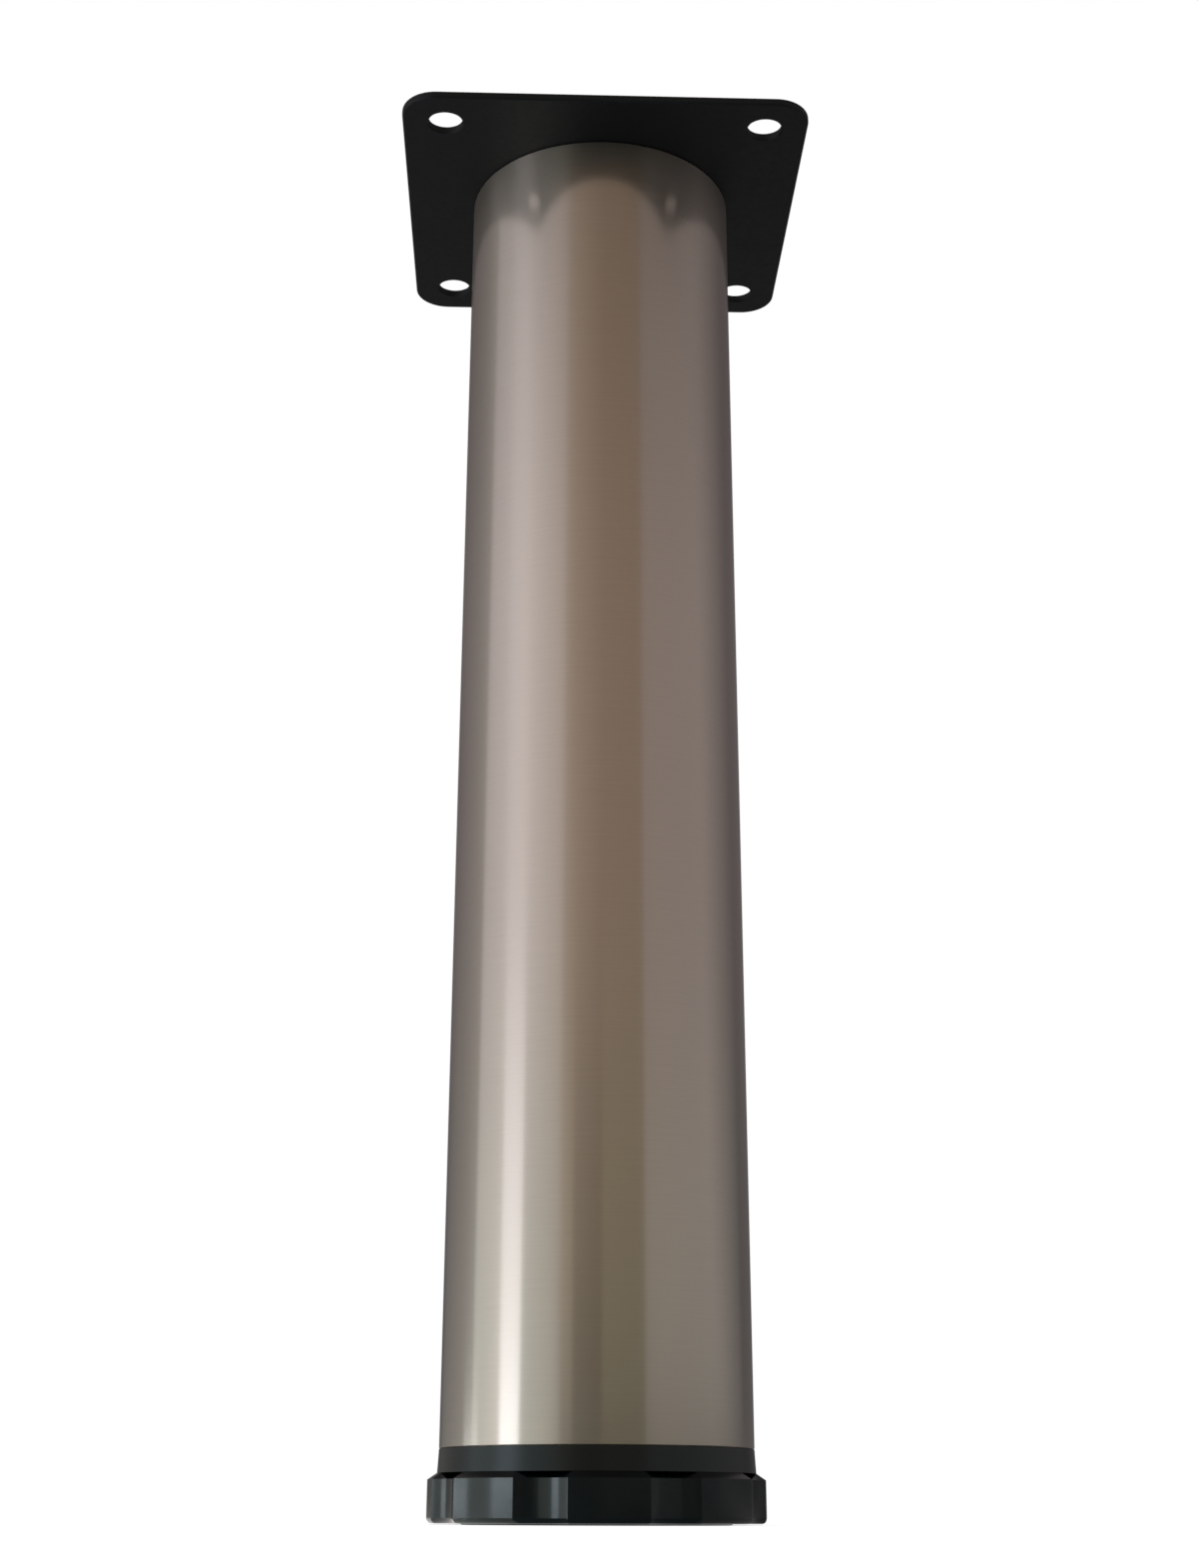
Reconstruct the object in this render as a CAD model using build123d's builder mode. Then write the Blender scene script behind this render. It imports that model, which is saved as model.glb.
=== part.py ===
from build123d import *
from math import radians, sqrt, tan
import os

# Adjustable furniture leg: a round brushed steel tube under a square mounting plate, standing on a
# lobed foot that screws in and out. Millimetres, +Z up, origin on the floor on the tube's axis.

# Tube
tube_diameter = 50.0
tube_wall = 1.0
tube_length = 229.5
tube_deburr = 0.2

# Mounting plate, punched and pressed from sheet
plate_thickness = 1.5
plate_corner_radius = 6.5
plate_edge_radius = 0.4
hole_diameter = 6.4
hole_spacing = 59.5
hole_margin = 8.0
hole_deburr = 0.2

# Countersunk bolt and nut that clamp the plate to the tube
bolt_diameter = 8.0
bolt_length = 16.0
bolt_tip = 0.5
bolt_head_diameter = 16.0
bolt_socket_flats = 5.0
bolt_socket_depth = 2.6
bolt_sink = 0.1
bolt_nut_flats = 13.0
bolt_nut_height = 6.5

# Plug in the top of the tube
plug_sink = 0.3
plug_depth = 20.0
plug_deck = 3.0
plug_seat = 4.0
plug_boss_wall = 3.0

# Insert in the bottom of the tube, with the collar that shows below the tube
collar_height = 3.5
collar_flare = 0.2
insert_depth = 20.0
insert_floor = 3.0
insert_seat = 3.0
insert_boss_wall = 2.1

# Sleeves of the plug and the insert
sleeve_wall = 1.8
sleeve_lead_in = 0.8
ring_height = 1.0
ring_count = 3
web_thickness = 1.6
web_count = 6

# Adjuster screw and its nut
screw_diameter = 10.0
screw_length = 30.0
screw_tip = 1.0
screw_head_flats = 17.0
screw_head_height = 6.4
screw_nut_flats = 17.0
screw_nut_height = 8.0

# Foot knob
knob_overhang = 1.7
knob_height = 7.25
shoulder_height = 0.9
shoulder_inset = 1.4
knob_bottom_radius = 0.8
flute_count = 8
flute_radius = 8.0
flute_depth = 1.55
flute_edge_radius = 0.3
flute_angle = 24.8
hub_wall = 2.4
hub_web = 2.0
rim_wall = 2.25
knob_lip = 0.8
knob_floor_gap = 0.2
foot_gap = 0.05

# Glide under the knob
glide_flange_width = 1.2
glide_flange_height = 1.0
glide_edge_radius = 0.5

# Clearances
thread_clearance = 0.05
shank_clearance = 0.3
pocket_clearance = 0.1
seat_clearance = 0.05
dimple_clearance = 0.2
sleeve_clearance = 0.3
ring_clearance = 0.05
glide_clearance = 0.2
hub_clearance = 0.6

# Radii that follow
tube_r = tube_diameter / 2
bore_r = tube_r - tube_wall
sleeve_r = bore_r - sleeve_clearance
sleeve_inner_r = sleeve_r - sleeve_wall
ring_r = bore_r - ring_clearance
bolt_r = bolt_diameter / 2
bolt_head_r = bolt_head_diameter / 2
screw_r = screw_diameter / 2
knob_r = tube_r + knob_overhang
hub_r = (screw_head_flats + 2 * pocket_clearance) / sqrt(3) + hub_wall
glide_groove_r = knob_r - flute_depth - rim_wall
glide_flange_r = glide_groove_r - glide_clearance
glide_r = glide_flange_r - glide_flange_width

# Heights that follow, from the floor up
knob_bottom = knob_floor_gap
knob_top = knob_bottom + knob_height
knob_lip_top = knob_bottom + knob_lip
glide_flange_bottom = knob_lip_top + glide_clearance
glide_top = glide_flange_bottom + glide_flange_height
knob_recess_top = glide_top + glide_clearance
screw_head_top = knob_recess_top + screw_head_height
hub_top = max(screw_head_top + hub_web, knob_top)
collar_bottom = knob_top + foot_gap
tube_bottom = collar_bottom + collar_height
tube_top = tube_bottom + tube_length
plate_top = tube_top + plate_thickness

# The plate, a square of sheet with rounded corners and a hole near each corner. A pressed dimple in
# its middle takes the bolt's head, so that the top stays flush.
plate_side = hole_spacing + 2 * hole_margin
bolt_top = plate_top - bolt_sink
sink_r = bolt_head_r + bolt_sink + seat_clearance
bolt_hole_r = bolt_r + shank_clearance
dimple_bottom = plate_top - (sink_r - bolt_hole_r)
dimple_wall = plate_thickness * sqrt(2)
dimple_low_r = bolt_hole_r + dimple_wall
dimple_top_r = dimple_low_r + tube_top - dimple_bottom

with BuildPart() as mounting_plate:
    with BuildSketch(Plane.XY.offset(tube_top)):
        RectangleRounded(plate_side, plate_side, plate_corner_radius)
    extrude(amount=plate_thickness)
    rims = mounting_plate.faces().filter_by(Axis.Z).edges()
    fillet(rims, plate_edge_radius)
    with BuildSketch(Plane.XY.offset(tube_top)):
        with GridLocations(hole_spacing, hole_spacing, 2, 2):
            Circle(hole_diameter / 2)
    extrude(amount=plate_thickness, mode=Mode.SUBTRACT)
    holes = mounting_plate.edges().filter_by(
        lambda edge: edge.geom_type == GeomType.CIRCLE and abs(edge.radius - hole_diameter / 2) < 0.001
    )
    chamfer(holes, hole_deburr)
    with BuildSketch(Plane.XZ):
        with BuildLine():
            Polyline(
                (0, plate_top),
                (dimple_top_r, plate_top),
                (dimple_top_r, tube_top),
                (dimple_low_r, dimple_bottom),
                (0, dimple_bottom),
                close=True,
            )
        make_face()
    revolve(axis=Axis.Z)
    with BuildSketch(Plane.XZ):
        with BuildLine():
            Polyline(
                (0, plate_top),
                (sink_r, plate_top),
                (bolt_hole_r, dimple_bottom),
                (0, dimple_bottom),
                close=True,
            )
        make_face()
    revolve(axis=Axis.Z, mode=Mode.SUBTRACT)

mounting_plate.part.label = "mounting_plate"

# The countersunk bolt, with a hexagon socket in its head
bolt_end = bolt_top - bolt_length

with BuildPart() as plate_bolt:
    with BuildSketch(Plane.XZ):
        with BuildLine():
            Polyline(
                (0, bolt_top),
                (bolt_head_r, bolt_top),
                (bolt_r, bolt_top - (bolt_head_r - bolt_r)),
                (bolt_r, bolt_end + bolt_tip),
                (bolt_r - bolt_tip, bolt_end),
                (0, bolt_end),
                close=True,
            )
        make_face()
    revolve(axis=Axis.Z)
    with BuildSketch(Plane.XY.offset(bolt_top)):
        RegularPolygon(bolt_socket_flats / 2, 6, major_radius=False)
    extrude(amount=-bolt_socket_depth, mode=Mode.SUBTRACT)

plate_bolt.part.label = "plate_bolt"


# A plain hexagon nut, with its corners turned off at 30 degrees at both ends
def hexagon_nut(flats, height, bore_radius, bottom):
    corner_r = flats / sqrt(3)
    corner_drop = (corner_r - flats / 2) * tan(radians(30))
    with BuildPart() as nut:
        with BuildSketch(Plane.XY.offset(bottom)):
            RegularPolygon(flats / 2, 6, major_radius=False)
            Circle(bore_radius, mode=Mode.SUBTRACT)
        extrude(amount=height)
        with BuildSketch(Plane.XZ):
            with BuildLine():
                Polyline(
                    (0, bottom),
                    (flats / 2, bottom),
                    (corner_r, bottom + corner_drop),
                    (corner_r, bottom + height - corner_drop),
                    (flats / 2, bottom + height),
                    (0, bottom + height),
                    close=True,
                )
            make_face()
        revolve(axis=Axis.Z, mode=Mode.INTERSECT)
    return nut


# The bolt's nut, pulled up against the seat inside the plug
dimple_seat = dimple_bottom - dimple_clearance
bolt_nut_top = dimple_seat - plug_seat
bolt_nut_bottom = bolt_nut_top - bolt_nut_height
plate_bolt_nut = hexagon_nut(bolt_nut_flats, bolt_nut_height, bolt_r + thread_clearance, bolt_nut_bottom)

plate_bolt_nut.part.label = "plate_bolt_nut"

# The tube, cut to length with deburred ends
with BuildPart() as leg_tube:
    with BuildSketch(Plane.XY.offset(tube_bottom)):
        Circle(tube_r)
        Circle(bore_r, mode=Mode.SUBTRACT)
    extrude(amount=tube_length)
    chamfer(leg_tube.edges().filter_by(GeomType.CIRCLE), tube_deburr)

leg_tube.part.label = "leg_tube"

# The plug in the tube's top: a deck and a sleeve gripped by rings, with a boss around the nut
plug_top = tube_top - plug_sink
plug_end = plug_top - plug_depth
plug_deck_bottom = plug_top - plug_deck
plug_nut_r = (bolt_nut_flats + 2 * pocket_clearance) / sqrt(3)
dimple_recess_low_r = dimple_low_r + dimple_clearance
dimple_recess_top_r = dimple_recess_low_r + plug_top - dimple_seat
plug_boss_r = max(plug_nut_r, dimple_recess_top_r) + plug_boss_wall
ring_spacing = (plug_depth - plug_deck) / ring_count

with BuildPart() as top_plug:
    with BuildSketch(Plane.XZ):
        with BuildLine():
            Polyline(
                (0, plug_top),
                (sleeve_r, plug_top),
                (sleeve_r, plug_end + sleeve_lead_in),
                (sleeve_r - sleeve_lead_in, plug_end),
                (sleeve_inner_r, plug_end),
                (sleeve_inner_r, plug_deck_bottom),
                (plug_boss_r, plug_deck_bottom),
                (plug_boss_r, bolt_nut_bottom),
                (0, bolt_nut_bottom),
                close=True,
            )
        make_face()
    revolve(axis=Axis.Z)
    with BuildSketch(Plane.XZ):
        for ring in range(ring_count):
            with Locations((sleeve_r, plug_top - (ring + 0.5) * ring_spacing)):
                Rectangle(2 * (ring_r - sleeve_r), ring_height)
    revolve(axis=Axis.Z)
    with BuildSketch(Plane.XY.offset(plug_deck_bottom)):
        with PolarLocations(0, web_count):
            Rectangle(sleeve_r - sleeve_wall / 2, web_thickness, align=(Align.MIN, Align.CENTER))
    extrude(amount=bolt_nut_bottom - plug_deck_bottom)
    with BuildSketch(Plane.XZ):
        with BuildLine():
            Polyline(
                (0, plug_top),
                (dimple_recess_top_r, plug_top),
                (dimple_recess_low_r, dimple_seat),
                (0, dimple_seat),
                close=True,
            )
        make_face()
    revolve(axis=Axis.Z, mode=Mode.SUBTRACT)
    with BuildSketch(Plane.XY.offset(bolt_nut_top)):
        Circle(bolt_hole_r)
    extrude(amount=plug_seat, mode=Mode.SUBTRACT)
    with BuildSketch(Plane.XY.offset(bolt_nut_bottom)):
        RegularPolygon(bolt_nut_flats / 2 + pocket_clearance, 6, major_radius=False)
    extrude(amount=bolt_nut_height, mode=Mode.SUBTRACT)

top_plug.part.label = "top_plug"

# The adjuster's nut, above the room that the knob's hub needs
screw_nut_bottom = hub_top + hub_clearance
screw_nut_top = screw_nut_bottom + screw_nut_height
adjuster_nut = hexagon_nut(screw_nut_flats, screw_nut_height, screw_r + thread_clearance, screw_nut_bottom)

adjuster_nut.part.label = "adjuster_nut"

# The insert in the tube's foot: a collar under the tube's end, a sleeve gripped by rings, and a boss
# with the nut's pocket, which opens downwards into the recess for the knob's hub
insert_top = tube_bottom + insert_depth
insert_floor_top = collar_bottom + insert_floor
insert_recess_r = hub_r + hub_clearance
insert_nut_r = (screw_nut_flats + 2 * pocket_clearance) / sqrt(3)
insert_boss_r = max(insert_recess_r, insert_nut_r) + insert_boss_wall
insert_boss_top = screw_nut_top + insert_seat
insert_ring_spacing = insert_depth / ring_count

with BuildPart() as foot_insert:
    with BuildSketch(Plane.XZ):
        with BuildLine():
            Polyline(
                (0, collar_bottom),
                (tube_r + collar_flare, collar_bottom),
                (tube_r, tube_bottom),
                (sleeve_r, tube_bottom),
                (sleeve_r, insert_top - sleeve_lead_in),
                (sleeve_r - sleeve_lead_in, insert_top),
                (sleeve_inner_r, insert_top),
                (sleeve_inner_r, insert_floor_top),
                (insert_boss_r, insert_floor_top),
                (insert_boss_r, insert_boss_top),
                (0, insert_boss_top),
                close=True,
            )
        make_face()
    revolve(axis=Axis.Z)
    with BuildSketch(Plane.XZ):
        for ring in range(ring_count):
            with Locations((sleeve_r, tube_bottom + (ring + 0.5) * insert_ring_spacing)):
                Rectangle(2 * (ring_r - sleeve_r), ring_height)
    revolve(axis=Axis.Z)
    with BuildSketch(Plane.XY.offset(insert_floor_top)):
        with PolarLocations(0, web_count):
            Rectangle(sleeve_r - sleeve_wall / 2, web_thickness, align=(Align.MIN, Align.CENTER))
    extrude(amount=insert_boss_top - insert_floor_top)
    with BuildSketch(Plane.XY.offset(collar_bottom)):
        Circle(insert_recess_r)
    extrude(amount=screw_nut_bottom - collar_bottom, mode=Mode.SUBTRACT)
    with BuildSketch(Plane.XY.offset(screw_nut_bottom)):
        RegularPolygon(screw_nut_flats / 2 + pocket_clearance, 6, major_radius=False)
    extrude(amount=screw_nut_height, mode=Mode.SUBTRACT)
    with BuildSketch(Plane.XY.offset(screw_nut_top)):
        Circle(screw_r + shank_clearance)
    extrude(amount=insert_seat, mode=Mode.SUBTRACT)

foot_insert.part.label = "foot_insert"

# The adjuster screw: its hexagon head sits in the knob, its thread goes up through the nut
screw_corner_r = screw_head_flats / sqrt(3)
screw_corner_drop = (screw_corner_r - screw_head_flats / 2) * tan(radians(30))

with BuildPart() as adjuster_screw:
    with BuildSketch(Plane.XY.offset(knob_recess_top)):
        RegularPolygon(screw_head_flats / 2, 6, major_radius=False)
    extrude(amount=screw_head_height)
    with BuildSketch(Plane.XZ):
        with BuildLine():
            Polyline(
                (0, knob_recess_top),
                (screw_head_flats / 2, knob_recess_top),
                (screw_corner_r, knob_recess_top + screw_corner_drop),
                (screw_corner_r, screw_head_top),
                (0, screw_head_top),
                close=True,
            )
        make_face()
    revolve(axis=Axis.Z, mode=Mode.INTERSECT)
    with BuildSketch(Plane.XY.offset(screw_head_top)):
        Circle(screw_r)
    extrude(amount=screw_length)
    chamfer(adjuster_screw.edges().sort_by(Axis.Z)[-1], screw_tip)

adjuster_screw.part.label = "adjuster_screw"

# The knob's edges are bevelled at the top and rounded at the bottom, along the flutes too, so each
# flute widens at both of its ends. This is what is cut away there, around a flute's axis.
shoulder_bottom = knob_top - shoulder_height
foot_round_top = knob_bottom + knob_bottom_radius

with BuildPart() as flute_ends:
    with BuildSketch(Plane.XZ):
        with BuildLine():
            Polyline(
                (0, knob_top),
                (flute_radius + shoulder_inset, knob_top),
                (flute_radius, shoulder_bottom),
                (0, shoulder_bottom),
                close=True,
            )
        make_face()
        with BuildLine():
            foot_round = JernArc((flute_radius, foot_round_top), (0, -1), knob_bottom_radius, 90)
            Polyline(foot_round @ 1, (0, knob_bottom), (0, foot_round_top), (flute_radius, foot_round_top))
        make_face()
    revolve(axis=Axis.Z)

# The knob: a disc with flutes between its lobes and a bevelled shoulder under the collar, with a hub
# around the screw's head and a lipped recess below for the glide
flute_axis_r = knob_r + flute_radius - flute_depth
glide_throat_r = glide_r + glide_clearance

with BuildPart() as foot_knob:
    with BuildSketch(Plane.XY.offset(knob_bottom)) as lobes:
        Circle(knob_r)
        with PolarLocations(flute_axis_r, flute_count, start_angle=flute_angle):
            Circle(flute_radius, mode=Mode.SUBTRACT)
        fillet(lobes.vertices(), flute_edge_radius)
    extrude(amount=knob_height)
    with BuildSketch(Plane.XZ) as knob_profile:
        with BuildLine():
            Polyline(
                (0, knob_bottom),
                (knob_r, knob_bottom),
                (knob_r, shoulder_bottom),
                (knob_r - shoulder_inset, knob_top),
                (0, knob_top),
                close=True,
            )
        make_face()
        fillet(knob_profile.vertices().group_by(Axis.Y)[0].sort_by(Axis.X)[-1], knob_bottom_radius)
    revolve(axis=Axis.Z, mode=Mode.INTERSECT)
    with PolarLocations(flute_axis_r, flute_count, start_angle=flute_angle):
        add(flute_ends.part, mode=Mode.SUBTRACT)
    with BuildSketch(Plane.XY.offset(knob_recess_top)):
        Circle(hub_r)
    extrude(amount=hub_top - knob_recess_top)
    with BuildSketch(Plane.XZ):
        with BuildLine():
            Polyline(
                (0, knob_bottom),
                (glide_throat_r, knob_bottom),
                (glide_throat_r, knob_lip_top),
                (glide_groove_r, knob_lip_top),
                (glide_groove_r, knob_recess_top),
                (0, knob_recess_top),
                close=True,
            )
        make_face()
    revolve(axis=Axis.Z, mode=Mode.SUBTRACT)
    with BuildSketch(Plane.XY.offset(knob_recess_top)):
        RegularPolygon(screw_head_flats / 2 + pocket_clearance, 6, major_radius=False)
    extrude(amount=screw_head_height, mode=Mode.SUBTRACT)
    with BuildSketch(Plane.XY.offset(screw_head_top)):
        Circle(screw_r + pocket_clearance)
    extrude(amount=hub_top - screw_head_top, mode=Mode.SUBTRACT)

foot_knob.part.label = "foot_knob"

# The glide: a disc that stands on the floor, with a flange held behind the knob's lip
with BuildPart() as glide_cap:
    with BuildSketch(Plane.XZ) as glide_profile:
        with BuildLine():
            Polyline(
                (0, 0),
                (glide_r, 0),
                (glide_r, glide_flange_bottom),
                (glide_flange_r, glide_flange_bottom),
                (glide_flange_r, glide_top),
                (0, glide_top),
                close=True,
            )
        make_face()
        fillet(glide_profile.vertices().group_by(Axis.Y)[0].sort_by(Axis.X)[-1], glide_edge_radius)
    revolve(axis=Axis.Z)

glide_cap.part.label = "glide_cap"

os.makedirs("parts", exist_ok=True)
export_step(mounting_plate.part, "parts/mounting_plate.step")
export_step(plate_bolt.part, "parts/plate_bolt.step")
export_step(plate_bolt_nut.part, "parts/plate_bolt_nut.step")
export_step(top_plug.part, "parts/top_plug.step")
export_step(leg_tube.part, "parts/leg_tube.step")
export_step(foot_insert.part, "parts/foot_insert.step")
export_step(adjuster_nut.part, "parts/adjuster_nut.step")
export_step(adjuster_screw.part, "parts/adjuster_screw.step")
export_step(foot_knob.part, "parts/foot_knob.step")
export_step(glide_cap.part, "parts/glide_cap.step")
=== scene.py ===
import bpy
import math
from mathutils import Matrix, Vector


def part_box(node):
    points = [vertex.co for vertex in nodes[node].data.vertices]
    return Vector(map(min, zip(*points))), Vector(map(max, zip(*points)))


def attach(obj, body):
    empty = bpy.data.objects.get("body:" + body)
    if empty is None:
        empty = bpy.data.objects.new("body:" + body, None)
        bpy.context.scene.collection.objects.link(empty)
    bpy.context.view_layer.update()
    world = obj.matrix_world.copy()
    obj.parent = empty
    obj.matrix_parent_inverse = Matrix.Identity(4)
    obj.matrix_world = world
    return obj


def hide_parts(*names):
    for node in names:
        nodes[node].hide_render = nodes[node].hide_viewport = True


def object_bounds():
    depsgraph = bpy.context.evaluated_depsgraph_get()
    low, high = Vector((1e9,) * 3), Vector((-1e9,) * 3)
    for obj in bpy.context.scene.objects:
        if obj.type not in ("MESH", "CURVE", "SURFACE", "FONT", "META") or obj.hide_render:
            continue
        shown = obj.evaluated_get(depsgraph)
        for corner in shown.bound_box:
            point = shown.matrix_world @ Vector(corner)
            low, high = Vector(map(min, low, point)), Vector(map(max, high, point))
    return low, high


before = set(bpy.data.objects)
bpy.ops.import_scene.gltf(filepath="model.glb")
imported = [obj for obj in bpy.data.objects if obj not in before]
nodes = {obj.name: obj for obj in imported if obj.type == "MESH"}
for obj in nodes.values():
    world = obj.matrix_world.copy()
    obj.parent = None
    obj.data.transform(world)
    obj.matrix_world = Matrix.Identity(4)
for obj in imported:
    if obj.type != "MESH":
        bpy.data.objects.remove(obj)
cad_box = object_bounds()

# Leg tube: thin stainless steel tube, cut square and deburred. A belt has linished it all round, so
# fine hairlines run around the tube and smear what it reflects along its length.
BRUSHED_STEEL = (0.50, 0.455, 0.42, 1)
# Noise scales, here and below, are patches to the metre
HAIRLINE_AROUND = 140
HAIRLINE_ALONG = 9000
GRAIN_ALONG = 3000
GRAIN_SHARE = 0.5
# The polish has a clear lobe and a hazy one: how smooth, how rough, and how far stretched along the tube
CLEAR_POLISH = (0.13, 0.19, 0.5)
HAZY_POLISH = (0.36, 0.44, 1.0)
HAZE_SHARE = 0.42
QUARTER_TURN = 0.25
# Most of a noise's values lie between these two
NOISE_LOW = 0.25
NOISE_HIGH = 0.75
NOISE_ROUGHNESS = 0.6


def begin_material(name):
    material = bpy.data.materials.new(name)
    material.use_nodes = True
    tree = material.node_tree
    return material, tree, tree.nodes["Principled BSDF"]


def object_noise(tree, scale, detail):
    place = tree.nodes.new("ShaderNodeTexCoord")
    stretch = tree.nodes.new("ShaderNodeMapping")
    stretch.inputs["Scale"].default_value = scale
    noise = tree.nodes.new("ShaderNodeTexNoise")
    noise.inputs["Scale"].default_value = 1
    noise.inputs["Detail"].default_value = detail
    noise.inputs["Roughness"].default_value = NOISE_ROUGHNESS
    tree.links.new(place.outputs["Object"], stretch.inputs["Vector"])
    tree.links.new(stretch.outputs["Vector"], noise.inputs["Vector"])
    return noise.outputs["Fac"]


def spread(tree, value, low, high):
    ranged = tree.nodes.new("ShaderNodeMapRange")
    ranged.inputs["From Min"].default_value = NOISE_LOW
    ranged.inputs["From Max"].default_value = NOISE_HIGH
    ranged.inputs["To Min"].default_value = low
    ranged.inputs["To Max"].default_value = high
    tree.links.new(value, ranged.inputs["Value"])
    return ranged.outputs["Result"]


def shade_colour(tree, colour, amount):
    mix = tree.nodes.new("ShaderNodeMix")
    mix.data_type = "RGBA"
    mix.blend_type = "MULTIPLY"
    mix.inputs["Factor"].default_value = 1
    mix.inputs["A"].default_value = colour
    tree.links.new(amount, mix.inputs["B"])
    return mix.outputs["Result"]


def raise_bump(tree, shader, height, strength, depth):
    bump = tree.nodes.new("ShaderNodeBump")
    bump.inputs["Strength"].default_value = strength
    bump.inputs["Distance"].default_value = depth
    tree.links.new(height, bump.inputs["Height"])
    tree.links.new(bump.outputs["Normal"], shader.inputs["Normal"])


def dress(node_name, material):
    nodes[node_name].material_slots[0].material = material


brushed, tree, shader = begin_material("hairline_brushed_steel")
hairline = object_noise(tree, scale=(HAIRLINE_AROUND, HAIRLINE_AROUND, HAIRLINE_ALONG), detail=3)
grain = object_noise(tree, scale=(HAIRLINE_AROUND, HAIRLINE_AROUND, GRAIN_ALONG), detail=2)
both = tree.nodes.new("ShaderNodeMix")
both.inputs["Factor"].default_value = GRAIN_SHARE
tree.links.new(hairline, both.inputs["A"])
tree.links.new(grain, both.inputs["B"])
lines = both.outputs["Result"]
steel = shade_colour(tree, BRUSHED_STEEL, spread(tree, lines, low=0.94, high=1.06))
around = tree.nodes.new("ShaderNodeTangent")
around.direction_type = "RADIAL"
around.axis = "Z"
haze = tree.nodes.new("ShaderNodeBsdfPrincipled")
for lobe, (smooth, rough, stretch) in ((shader, CLEAR_POLISH), (haze, HAZY_POLISH)):
    tree.links.new(steel, lobe.inputs["Base Color"])
    tree.links.new(spread(tree, lines, low=smooth, high=rough), lobe.inputs["Roughness"])
    raise_bump(tree, lobe, lines, strength=0.05, depth=0.00001)
    tree.links.new(around.outputs["Tangent"], lobe.inputs["Tangent"])
    lobe.inputs["Metallic"].default_value = 1
    lobe.inputs["Anisotropic"].default_value = stretch
    lobe.inputs["Anisotropic Rotation"].default_value = QUARTER_TURN
polish = tree.nodes.new("ShaderNodeMixShader")
polish.inputs["Fac"].default_value = HAZE_SHARE
tree.links.new(shader.outputs["BSDF"], polish.inputs[1])
tree.links.new(haze.outputs["BSDF"], polish.inputs[2])
tree.links.new(polish.outputs["Shader"], tree.nodes["Material Output"].inputs["Surface"])
dress("leg_tube", brushed)

# Top plug: a black moulded plug pressed into the tube's upper end, gripping it with its rings. It holds
# the nut that the plate is bolted to, and the plate hides it.
PLUG_BLACK = (0.016, 0.016, 0.017, 1)
PLUG_GRAIN = 1800
plug_plastic, tree, shader = begin_material("plug_plastic")
mould_grain = object_noise(tree, scale=(PLUG_GRAIN,) * 3, detail=2)
mottle = spread(tree, mould_grain, low=0.85, high=1.15)
tree.links.new(shade_colour(tree, PLUG_BLACK, mottle), shader.inputs["Base Color"])
tree.links.new(spread(tree, mould_grain, low=0.45, high=0.6), shader.inputs["Roughness"])
raise_bump(tree, shader, mould_grain, strength=0.2, depth=0.00003)
dress("top_plug", plug_plastic)

# Bolt nut: a plain hexagon nut of zinc plated steel, the same bright plating as on the other fasteners.
# The plug's pocket holds it, so it can't turn while the bolt is driven.
ZINC = (0.60, 0.60, 0.575, 1)
ZINC_PATCHES = 500
zinc, tree, shader = begin_material("bright_zinc_plate")
plating = object_noise(tree, scale=(ZINC_PATCHES,) * 3, detail=3)
mottle = spread(tree, plating, low=0.85, high=1.1)
tree.links.new(shade_colour(tree, ZINC, mottle), shader.inputs["Base Color"])
tree.links.new(spread(tree, plating, low=0.28, high=0.42), shader.inputs["Roughness"])
raise_bump(tree, shader, plating, strength=0.08, depth=0.00004)
shader.inputs["Metallic"].default_value = 1
dress("plate_bolt_nut", zinc)

# Mounting plate: a square punched from steel sheet, with a dimple pressed for the bolt's head and a
# screw hole near each corner. It is powder coated black, which leaves a fine orange peel.
COAT_BLACK = (0.0036, 0.0041, 0.0052, 1)
COAT_PEEL = 700
COAT_CLOUDS = 60
COAT_GLOSS = 0.22
COAT_TINT = (0.82, 0.93, 1, 1)
coat, tree, shader = begin_material("black_powder_coat")
peel = object_noise(tree, scale=(COAT_PEEL,) * 3, detail=2)
cloud = object_noise(tree, scale=(COAT_CLOUDS,) * 3, detail=3)
mottle = spread(tree, cloud, low=0.85, high=1.15)
tree.links.new(shade_colour(tree, COAT_BLACK, mottle), shader.inputs["Base Color"])
tree.links.new(spread(tree, peel, low=0.40, high=0.52), shader.inputs["Roughness"])
raise_bump(tree, shader, peel, strength=0.25, depth=0.00005)
shader.inputs["Specular IOR Level"].default_value = COAT_GLOSS
shader.inputs["Specular Tint"].default_value = COAT_TINT
dress("mounting_plate", coat)

# Plate bolt: a countersunk socket screw of zinc plated steel. Its head lies flush in the plate's dimple,
# and it clamps the plate to the tube.
dress("plate_bolt", zinc)

# Foot insert: a black moulded insert pressed into the tube's lower end. Its collar is the band that
# shows under the tube, with the fine spark-eroded texture of its mould.
COLLAR_BLACK = (0.0018, 0.0030, 0.0034, 1)
COLLAR_TEXTURE = 2200
COLLAR_GLOSS = 0.4
COLLAR_TINT = (0.82, 0.94, 1, 1)
collar_plastic, tree, shader = begin_material("textured_black_plastic")
erosion = object_noise(tree, scale=(COLLAR_TEXTURE,) * 3, detail=3)
mottle = spread(tree, erosion, low=0.8, high=1.2)
tree.links.new(shade_colour(tree, COLLAR_BLACK, mottle), shader.inputs["Base Color"])
tree.links.new(spread(tree, erosion, low=0.20, high=0.28), shader.inputs["Roughness"])
raise_bump(tree, shader, erosion, strength=0.1, depth=0.00004)
shader.inputs["Specular IOR Level"].default_value = COLLAR_GLOSS
shader.inputs["Specular Tint"].default_value = COLLAR_TINT
dress("foot_insert", collar_plastic)

# Adjuster nut: a hexagon nut of zinc plated steel, pressed into the insert from below. It takes the load
# from the tube to the adjuster screw.
dress("adjuster_nut", zinc)

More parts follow.
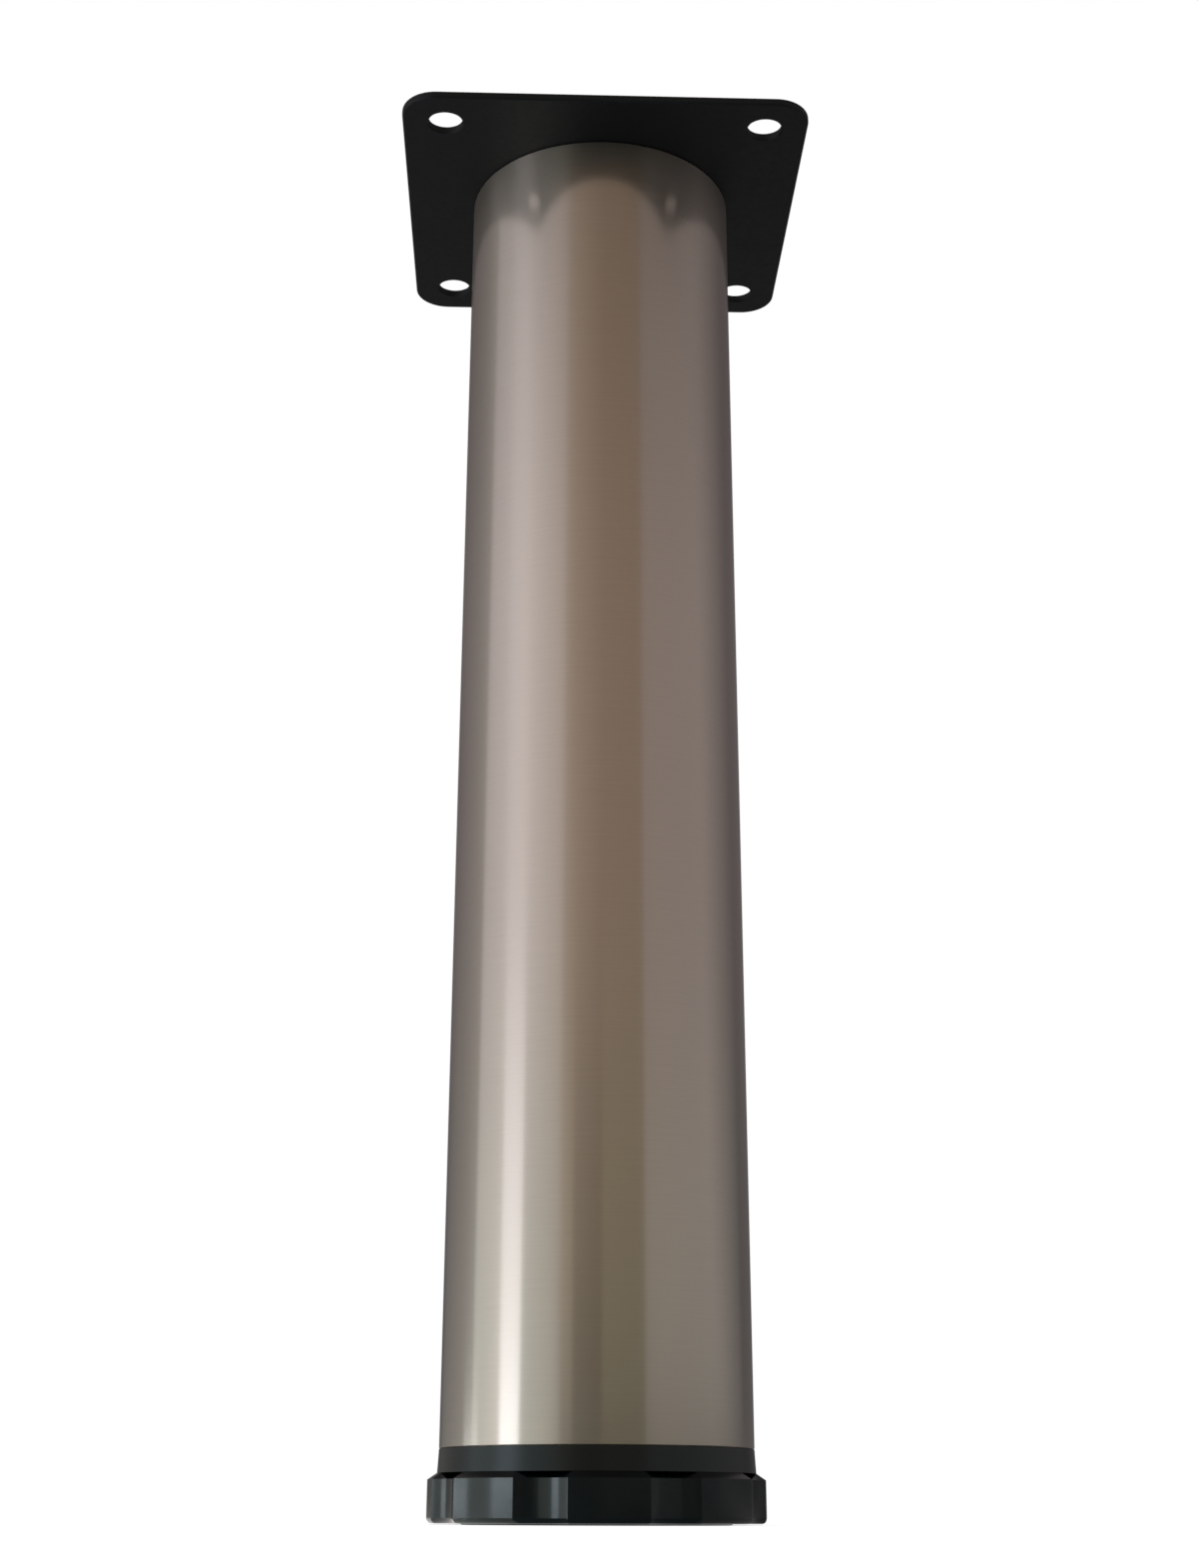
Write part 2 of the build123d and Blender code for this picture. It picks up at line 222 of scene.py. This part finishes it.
# Adjuster screw: a zinc plated hexagon head screw with a coarse right-hand thread. Its head is caught
# in the knob, and its thread runs up through the nut. One turn of the thread is drawn and then wound up
# the shank, and the hexagon head is added below it.
PITCH = 0.0015
THREAD_DEPTH = 0.00092
CREST_RADIUS = 0.005
ROOT_FLAT = PITCH / 4
CREST_FLAT = PITCH / 8
FLANK_RISE = 5 / 16 * PITCH
SPARE_TURNS = 2
THREAD_STEPS = 48
TIP = 0.001
HEAD_HEIGHT = 0.0064
HEAD_FLATS = 0.017
HEAD_BEVEL = 0.0006
HEAD_OVERLAP = 0.0002
HEXAGON_TURN = math.radians(30)
SHARP_EDGE = math.radians(30)
SAME_PLACE = 0.000001
screw_low, screw_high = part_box("adjuster_screw")
head_low = screw_low.z
head_top = head_low + HEAD_HEIGHT
tip_start = screw_high.z - TIP
root = CREST_RADIUS - THREAD_DEPTH


def deselect_all():
    bpy.ops.object.select_all(action="DESELECT")


deselect_all()
bpy.ops.mesh.primitive_plane_add(size=PITCH, location=(root, 0, head_top - SPARE_TURNS * PITCH))
thread = bpy.context.object
bpy.ops.object.transform_apply(location=True, rotation=True, scale=True)
bpy.ops.object.mode_set(mode="EDIT")
bpy.ops.mesh.select_all(action="SELECT")
bpy.ops.mesh.merge(type="CENTER")
for out, rise in (
    (0, ROOT_FLAT),
    (THREAD_DEPTH, FLANK_RISE),
    (0, CREST_FLAT),
    (-THREAD_DEPTH, FLANK_RISE),
):
    bpy.ops.mesh.extrude_region_move(TRANSFORM_OT_translate={"value": (out, 0, rise)})
bpy.ops.object.mode_set(mode="OBJECT")
wind = thread.modifiers.new("wind", "SCREW")
wind.axis = "Z"
wind.angle = math.tau
wind.screw_offset = PITCH
wind.iterations = math.ceil((screw_high.z - head_top) / PITCH) + 2 * SPARE_TURNS
wind.steps = THREAD_STEPS
wind.render_steps = THREAD_STEPS
wind.use_merge_vertices = True
wind.merge_threshold = SAME_PLACE
bpy.ops.object.modifier_apply(modifier=wind.name)
bpy.ops.object.mode_set(mode="EDIT")
bpy.ops.mesh.select_all(action="SELECT")
bpy.ops.mesh.remove_doubles(threshold=SAME_PLACE)
for height, side in ((head_top - HEAD_OVERLAP, -1), (screw_high.z, 1)):
    bpy.ops.mesh.select_all(action="SELECT")
    bpy.ops.mesh.bisect(
        plane_co=(0, 0, height),
        plane_no=(0, 0, side),
        use_fill=True,
        clear_outer=True,
        threshold=SAME_PLACE,
    )
bpy.ops.mesh.select_all(action="SELECT")
bpy.ops.mesh.normals_make_consistent(inside=False)
bpy.ops.object.mode_set(mode="OBJECT")
for vertex in thread.data.vertices:
    reach = math.hypot(vertex.co.x, vertex.co.y)
    limit = CREST_RADIUS - max(0, vertex.co.z - tip_start)
    if reach > limit:
        vertex.co.x *= limit / reach
        vertex.co.y *= limit / reach

deselect_all()
bpy.ops.mesh.primitive_cylinder_add(
    vertices=6,
    radius=HEAD_FLATS / math.sqrt(3),
    depth=HEAD_HEIGHT,
    location=(0, 0, head_low + HEAD_HEIGHT / 2),
    rotation=(0, 0, HEXAGON_TURN),
)
head = bpy.context.object
bpy.ops.object.transform_apply(location=True, rotation=True, scale=True)
turned = head.modifiers.new("turned", "BEVEL")
turned.width = HEAD_BEVEL
turned.segments = 2
bpy.ops.object.modifier_apply(modifier=turned.name)
thread.select_set(True)
bpy.context.view_layer.objects.active = thread
bpy.ops.object.join()
bpy.ops.object.shade_smooth_by_angle(angle=SHARP_EDGE)
thread.name = "threaded_adjuster_screw"
thread.data.materials.append(zinc)
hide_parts("adjuster_screw")
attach(thread, "foot")

# Foot knob: the black moulded foot, turned by hand by its lobes. It has a smoother, satin finish, and
# it is moulded round the head of the screw.
KNOB_BLACK = (0.0012, 0.0026, 0.0032, 1)
KNOB_SATIN = 900
KNOB_HANDLING = 120
KNOB_GLOSS = 0.5
KNOB_TINT = (0.86, 0.95, 1, 1)
knob_plastic, tree, shader = begin_material("satin_black_plastic")
satin = object_noise(tree, scale=(KNOB_SATIN,) * 3, detail=2)
handling = object_noise(tree, scale=(KNOB_HANDLING,) * 3, detail=4)
mottle = spread(tree, handling, low=0.8, high=1.25)
tree.links.new(shade_colour(tree, KNOB_BLACK, mottle), shader.inputs["Base Color"])
tree.links.new(spread(tree, handling, low=0.13, high=0.19), shader.inputs["Roughness"])
raise_bump(tree, shader, satin, strength=0.12, depth=0.00003)
shader.inputs["Specular IOR Level"].default_value = KNOB_GLOSS
shader.inputs["Specular Tint"].default_value = KNOB_TINT
dress("foot_knob", knob_plastic)

# Glide cap: a dark nylon disc snapped into the knob's underside, which stays still on the floor while
# the knob turns.
GLIDE_GREY = (0.03, 0.03, 0.032, 1)
GLIDE_GRAIN = 1500
nylon, tree, shader = begin_material("dark_nylon")
matt = object_noise(tree, scale=(GLIDE_GRAIN,) * 3, detail=2)
mottle = spread(tree, matt, low=0.85, high=1.15)
tree.links.new(shade_colour(tree, GLIDE_GREY, mottle), shader.inputs["Base Color"])
tree.links.new(spread(tree, matt, low=0.5, high=0.65), shader.inputs["Roughness"])
raise_bump(tree, shader, matt, strength=0.2, depth=0.00003)
dress("glide_cap", nylon)

# Floor: a plain pale sheet that the foot stands on. It goes with the glide, so the leg rises from it
# as the foot is screwed out.
FLOOR_SIZE = 8
FLOOR_PALE = (0.86, 0.86, 0.86, 1)
FLOOR_ROUGHNESS = 0.9
FLOOR_LIFT = 0.62
WHITE = (1, 1, 1, 1)


def seen_directly(tree):
    path = tree.nodes.new("ShaderNodeLightPath")
    seen = path.outputs["Is Camera Ray"]
    for ray in ("Is Glossy Ray", "Is Transmission Ray"):
        either = tree.nodes.new("ShaderNodeMath")
        either.operation = "MAXIMUM"
        tree.links.new(seen, either.inputs[0])
        tree.links.new(path.outputs[ray], either.inputs[1])
        seen = either.outputs["Value"]
    return seen


deselect_all()
bpy.ops.mesh.primitive_plane_add(size=FLOOR_SIZE, location=(0, 0, cad_box[0].z))
floor = bpy.context.object
floor.name = "floor"
bpy.ops.object.transform_apply(location=True, rotation=True, scale=True)
pale, tree, shader = begin_material("pale_floor")
shader.inputs["Base Color"].default_value = FLOOR_PALE
shader.inputs["Roughness"].default_value = FLOOR_ROUGHNESS
shader.inputs["Specular IOR Level"].default_value = 0
shader.inputs["Emission Color"].default_value = WHITE
lift = tree.nodes.new("ShaderNodeMath")
lift.operation = "MULTIPLY"
lift.inputs[1].default_value = FLOOR_LIFT
tree.links.new(seen_directly(tree), lift.inputs[0])
tree.links.new(lift.outputs["Value"], shader.inputs["Emission Strength"])
floor.data.materials.append(pale)
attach(floor, "glide")

# Studio flats: tall curved cards around the set, carried on over the floor and the ceiling. They are no
# lamps but glow by emission, so their bands are painted reflections: only the steel and the other glossy
# surfaces see them, as the darker and lighter bands along the tube. Angles are degrees round from the
# camera, positive towards its right.
CAMERA_TURN = 1.84
CAMERA_BEARING = -90 - CAMERA_TURN
FLAT_RADIUS = 1.1
FLAT_TOP = 1.5
FLAT_SEGMENTS = 240
FLOOR_CLEARANCE = 0.0003
# Shares of a flat's height between which its tone changes, from the floor up
BASE_LEVELS = (0.001, 0.02)
FOOT_LEVEL = 0.032
PLAIN_LEVELS = (0.25, 0.41)
HEAD_LEVEL = 0.63


def studio_flat(name, start, end, first, last, ground, base, foot, head):
    deselect_all()
    bpy.ops.mesh.primitive_cylinder_add(
        vertices=FLAT_SEGMENTS,
        radius=FLAT_RADIUS,
        depth=FLAT_TOP,
        end_fill_type="TRIFAN",
        location=(0, 0, FLAT_TOP / 2 + FLOOR_CLEARANCE),
    )
    flat = bpy.context.object
    flat.name = name
    bpy.ops.object.transform_apply(location=True, rotation=True, scale=True)
    bpy.ops.object.mode_set(mode="EDIT")
    bpy.ops.mesh.select_all(action="DESELECT")
    bpy.ops.object.mode_set(mode="OBJECT")
    for face in flat.data.polygons:
        turn = math.degrees(math.atan2(face.center.y, face.center.x)) - CAMERA_BEARING
        face.select = (turn - start) % 360 > end - start
    bpy.ops.object.mode_set(mode="EDIT")
    bpy.ops.mesh.delete(type="FACE")
    bpy.ops.object.mode_set(mode="OBJECT")

    middle = (start + end) / 2
    half_width = math.radians((end - start) / 2)
    # Each card glows by emission and no lamp lights it: its colour is a painted reflection.
    card_glow = bpy.data.materials.new(name + "_paper")
    card_glow.use_nodes = True
    tree = card_glow.node_tree
    tree.nodes.remove(tree.nodes["Principled BSDF"])
    place = tree.nodes.new("ShaderNodeTexCoord")
    face_on = tree.nodes.new("ShaderNodeMapping")
    face_on.inputs["Rotation"].default_value[2] = math.radians(-CAMERA_BEARING - middle)
    apart = tree.nodes.new("ShaderNodeSeparateXYZ")
    sweep = tree.nodes.new("ShaderNodeMath")
    sweep.operation = "ARCTAN2"
    across = tree.nodes.new("ShaderNodeMapRange")
    across.inputs["From Min"].default_value = -half_width
    across.inputs["From Max"].default_value = half_width
    blend = tree.nodes.new("ShaderNodeMix")
    blend.data_type = "RGBA"
    blend.inputs["A"].default_value = first
    blend.inputs["B"].default_value = last
    up = tree.nodes.new("ShaderNodeMath")
    up.operation = "DIVIDE"
    up.inputs[1].default_value = FLAT_TOP
    fade = tree.nodes.new("ShaderNodeValToRGB")
    fade.color_ramp.elements[0].color = ground
    fade.color_ramp.elements[1].position = HEAD_LEVEL
    fade.color_ramp.elements[1].color = head
    for level in BASE_LEVELS:
        fade.color_ramp.elements.new(level).color = base
    fade.color_ramp.elements.new(FOOT_LEVEL).color = foot
    for level in PLAIN_LEVELS:
        fade.color_ramp.elements.new(level).color = WHITE
    tint = tree.nodes.new("ShaderNodeMix")
    tint.data_type = "RGBA"
    tint.blend_type = "MULTIPLY"
    tint.inputs["Factor"].default_value = 1
    glow = tree.nodes.new("ShaderNodeEmission")
    tree.links.new(place.outputs["Object"], face_on.inputs["Vector"])
    tree.links.new(face_on.outputs["Vector"], apart.inputs["Vector"])
    tree.links.new(apart.outputs["Y"], sweep.inputs[0])
    tree.links.new(apart.outputs["X"], sweep.inputs[1])
    tree.links.new(sweep.outputs["Value"], across.inputs["Value"])
    tree.links.new(across.outputs["Result"], blend.inputs["Factor"])
    tree.links.new(apart.outputs["Z"], up.inputs[0])
    tree.links.new(up.outputs["Value"], fade.inputs["Fac"])
    tree.links.new(blend.outputs["Result"], tint.inputs["A"])
    tree.links.new(fade.outputs["Color"], tint.inputs["B"])
    tree.links.new(tint.outputs["Result"], glow.inputs["Color"])
    tree.links.new(glow.outputs["Emission"], tree.nodes["Material Output"].inputs["Surface"])
    flat.data.materials.append(card_glow)
    flat.visible_camera = False
    flat.visible_diffuse = False
    flat.visible_shadow = False
    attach(flat, "glide")


# The glow colours of the cards, painted reflections, from the left of the camera round to the back
LEFT_GLOW = (0.84, 0.78, 0.79, 1)
BRIGHT_GLOW = (1.03, 0.96, 0.965, 1)
NEAR_GLOW = (1.07, 0.99, 0.985, 1)
SHADED_GLOW = (0.83, 0.71, 0.655, 1)
EDGE_GLOW = (0.68, 0.56, 0.475, 1)
FRONT_NEAR = (0.625, 0.50, 0.40, 1)
FRONT_GLOW = (0.495, 0.38, 0.295, 1)
FRONT_FAR = (0.455, 0.35, 0.272, 1)
RIGHT_GLOW = (0.525, 0.442, 0.40, 1)
RIGHT_FAR = (0.495, 0.432, 0.412, 1)
BACK_GLOW = (0.172, 0.151, 0.155, 1)
BACK_EDGE = (0.445, 0.41, 0.395, 1)
# Tints that multiply the glow at its foot, at its base, on the floor and at its head: painted brighter
# and darker bands, such as the bright strip near the floor, the dark floor in front and the dimmer heads
LEFT_FOOT = (1.24, 1.44, 1.32, 1)
STRIP_FOOT = (2.25, 2.6, 2.65, 1)
SHADED_FOOT = (0.83, 0.99, 0.92, 1)
EDGE_FOOT = (0.97, 1.12, 1.0, 1)
FRONT_FOOT = (0.44, 0.53, 0.45, 1)
NEAR_FOOT = (0.80, 1.02, 0.85, 1)
RIGHT_FOOT = (1.12, 1.30, 1.22, 1)
BACK_FOOT = (0.72, 0.80, 0.77, 1)
REAR_FOOT = (1.15, 1.28, 1.2, 1)
# Dark bases and grounds in front paint a dark floor into the reflections, which keeps the knob's front
# dark.
FRONT_BASE = (0.05, 0.14, 0.18, 1)
RIGHT_BASE = (0.10, 0.17, 0.18, 1)
LEFT_GROUND = (0.92, 1.02, 0.96, 1)
STRIP_GROUND = (1.35, 1.33, 1.3, 1)
FRONT_GROUND = (0.27, 0.40, 0.50, 1)
RIGHT_GROUND = (0.48, 0.53, 0.54, 1)
FAR_GROUND = (1.2, 1.25, 1.25, 1)
BACK_GROUND = (1.55, 1.65, 1.6, 1)
REAR_GROUND = (1.7, 1.8, 1.75, 1)
DIM_HEAD = (0.58, 0.58, 0.58, 1)
FRONT_HEAD = (0.66, 0.66, 0.65, 1)
studio_flat(
    "left_flat_back", start=-101, end=-74.5, first=LEFT_GLOW, last=BRIGHT_GLOW,
    ground=LEFT_GROUND, base=LEFT_FOOT, foot=LEFT_FOOT, head=DIM_HEAD,
)
# The strip glows brightest at its foot: a painted highlight along the lower tube and the foot, added to
# the window lamp's.
studio_flat(
    "strip_flat", start=-74.5, end=-56.5, first=BRIGHT_GLOW, last=NEAR_GLOW,
    ground=STRIP_GROUND, base=STRIP_FOOT, foot=STRIP_FOOT, head=DIM_HEAD,
)
studio_flat(
    "left_flat", start=-56.5, end=-26.5, first=NEAR_GLOW, last=SHADED_GLOW,
    ground=SHADED_FOOT, base=SHADED_FOOT, foot=SHADED_FOOT, head=DIM_HEAD,
)
studio_flat(
    "edge_flat", start=-26.5, end=-17, first=EDGE_GLOW, last=FRONT_NEAR,
    ground=FRONT_GROUND, base=FRONT_BASE, foot=EDGE_FOOT, head=FRONT_HEAD,
)
studio_flat(
    "front_flat_left", start=-17, end=4, first=FRONT_NEAR, last=FRONT_GLOW,
    ground=FRONT_GROUND, base=FRONT_BASE, foot=FRONT_FOOT, head=FRONT_HEAD,
)
studio_flat(
    "front_flat_right", start=4, end=35, first=FRONT_GLOW, last=FRONT_FAR,
    ground=FRONT_GROUND, base=FRONT_BASE, foot=NEAR_FOOT, head=FRONT_HEAD,
)
studio_flat(
    "right_flat", start=35, end=88, first=RIGHT_GLOW, last=RIGHT_FAR,
    ground=RIGHT_GROUND, base=RIGHT_BASE, foot=RIGHT_FOOT, head=DIM_HEAD,
)
studio_flat(
    "right_flat_back", start=88, end=132, first=RIGHT_FAR, last=BACK_GLOW,
    ground=FAR_GROUND, base=RIGHT_BASE, foot=RIGHT_FOOT, head=DIM_HEAD,
)
studio_flat(
    "back_flat", start=132, end=205, first=BACK_GLOW, last=BACK_GLOW,
    ground=BACK_GROUND, base=BACK_FOOT, foot=BACK_FOOT, head=DIM_HEAD,
)
studio_flat(
    "back_flat_left", start=205, end=259, first=BACK_GLOW, last=BACK_EDGE,
    ground=REAR_GROUND, base=REAR_FOOT, foot=REAR_FOOT, head=DIM_HEAD,
)

# Lights: a low window on the left and the bright sill beside it, which draw the highlight along the tube
# and on the foot, and a broad soft light overhead. Each is aimed at the leg, at its own height or lower.
LAMP_COLOUR = (0.91, 1, 1.05)
HIGHEST_AIM = 0.1


def soft_light(name, turn, distance, height, width, tall, watts):
    angle = math.radians(turn + CAMERA_BEARING)
    spot = Vector((distance * math.cos(angle), distance * math.sin(angle), height))
    lamp = bpy.data.lights.new(name, "AREA")
    lamp.shape = "RECTANGLE"
    lamp.size = width
    lamp.size_y = tall
    lamp.energy = watts
    lamp.color = LAMP_COLOUR
    holder = bpy.data.objects.new(name, lamp)
    bpy.context.scene.collection.objects.link(holder)
    aim = Vector((0, 0, min(height, HIGHEST_AIM))) - spot
    holder.matrix_world = Matrix.Translation(spot) @ aim.to_track_quat("-Z", "Y").to_matrix().to_4x4()
    return holder


soft_light("window", turn=-65.5, distance=1.0, height=0.025, width=0.27, tall=0.05, watts=0.11)
soft_light("sill", turn=-103, distance=1.0, height=0.012, width=0.28, tall=0.024, watts=0.084)
overhead = soft_light("overhead", turn=-30, distance=0.35, height=1.3, width=0.9, tall=0.9, watts=3.0)
overhead.visible_glossy = False

# World: a plain white room all round. It is full white where it is seen or mirrored, and dimmer and a
# little warmer where it only lights the leg.
AMBIENT_COLOUR = (1, 0.98, 0.96, 1)
AMBIENT_STRENGTH = 0.5
world = bpy.data.worlds.new("white_studio")
bpy.context.scene.world = world
world.use_nodes = True
tree = world.node_tree
backdrop = tree.nodes["Background"]
backdrop.inputs["Color"].default_value = WHITE
ambient = tree.nodes.new("ShaderNodeBackground")
ambient.inputs["Color"].default_value = AMBIENT_COLOUR
ambient.inputs["Strength"].default_value = AMBIENT_STRENGTH
choose = tree.nodes.new("ShaderNodeMixShader")
tree.links.new(seen_directly(tree), choose.inputs["Fac"])
tree.links.new(ambient.outputs["Background"], choose.inputs[1])
tree.links.new(backdrop.outputs["Background"], choose.inputs[2])
tree.links.new(choose.outputs["Shader"], tree.nodes["World Output"].inputs["Surface"])

# Camera: just above the floor, looking up the leg, as the photograph was taken. Its place and its lens
# were fitted to the leg's outlines in the photograph.
PHOTO_HEIGHT_PX = 1571
FOCAL_PX = 2194.5
CENTRE_ABOVE_MIDDLE_PX = 180
SENSOR_MM = 36
CAMERA_DISTANCE = 0.3727
CAMERA_HEIGHT = 0.0015
CAMERA_PITCH = 22.57
CAMERA_ROLL = 0.154
NEAREST_SEEN = 0.01
lens = bpy.data.cameras.new("photo_camera")
lens.sensor_width = SENSOR_MM
lens.lens = FOCAL_PX / PHOTO_HEIGHT_PX * SENSOR_MM
lens.shift_y = -CENTRE_ABOVE_MIDDLE_PX / PHOTO_HEIGHT_PX
lens.clip_start = NEAREST_SEEN
camera = bpy.data.objects.new("photo_camera", lens)
bpy.context.scene.collection.objects.link(camera)
turn = Matrix.Rotation(math.radians(-CAMERA_TURN), 4, "Z")
pitch = Matrix.Rotation(math.radians(90 + CAMERA_PITCH), 4, "X")
roll = Matrix.Rotation(math.radians(CAMERA_ROLL), 4, "Z")
stand = Matrix.Translation((0, -CAMERA_DISTANCE, CAMERA_HEIGHT))
camera.matrix_world = turn @ stand @ pitch @ roll
bpy.context.scene.camera = camera
bpy.context.scene.view_settings.view_transform = "Standard"
